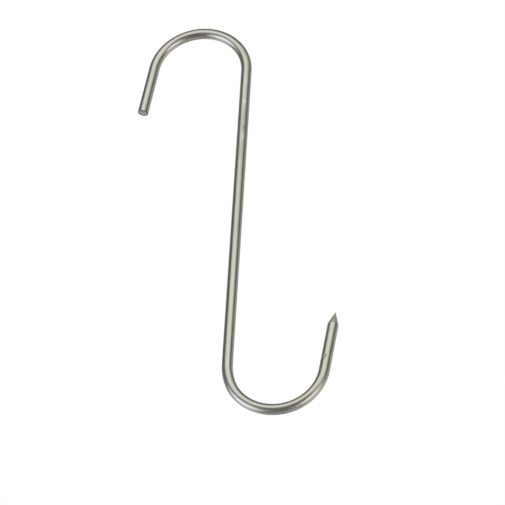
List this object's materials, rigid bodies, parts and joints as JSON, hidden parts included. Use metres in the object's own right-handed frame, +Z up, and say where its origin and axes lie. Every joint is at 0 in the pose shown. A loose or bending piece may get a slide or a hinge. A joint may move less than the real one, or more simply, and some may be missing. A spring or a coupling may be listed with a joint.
{
  "type": "meat hook",
  "caption": "S-shaped hanging hook bent from one round steel rod, with a blunt upper hook for a rail and a pointed lower hook for the load.",
  "frame": {"origin": "rail seat: the highest point on the inside of the upper bend, where the hook rests on its rail", "axes": "+Z up along the straight shank as the hook hangs; the hook lies in the XZ plane, upper hook open towards -X, pointed lower hook open towards +X; Y is across the rod, along the rail"},
  "size_m": [0.1201, 0.006, 0.25],
  "materials": {
    "rod": "bright drawn stainless steel rod, bare metal; cut end and point ground matt"
  },
  "bodies": {
    "root": {"hook_rod": "rod"}
  },
  "joints": []
}
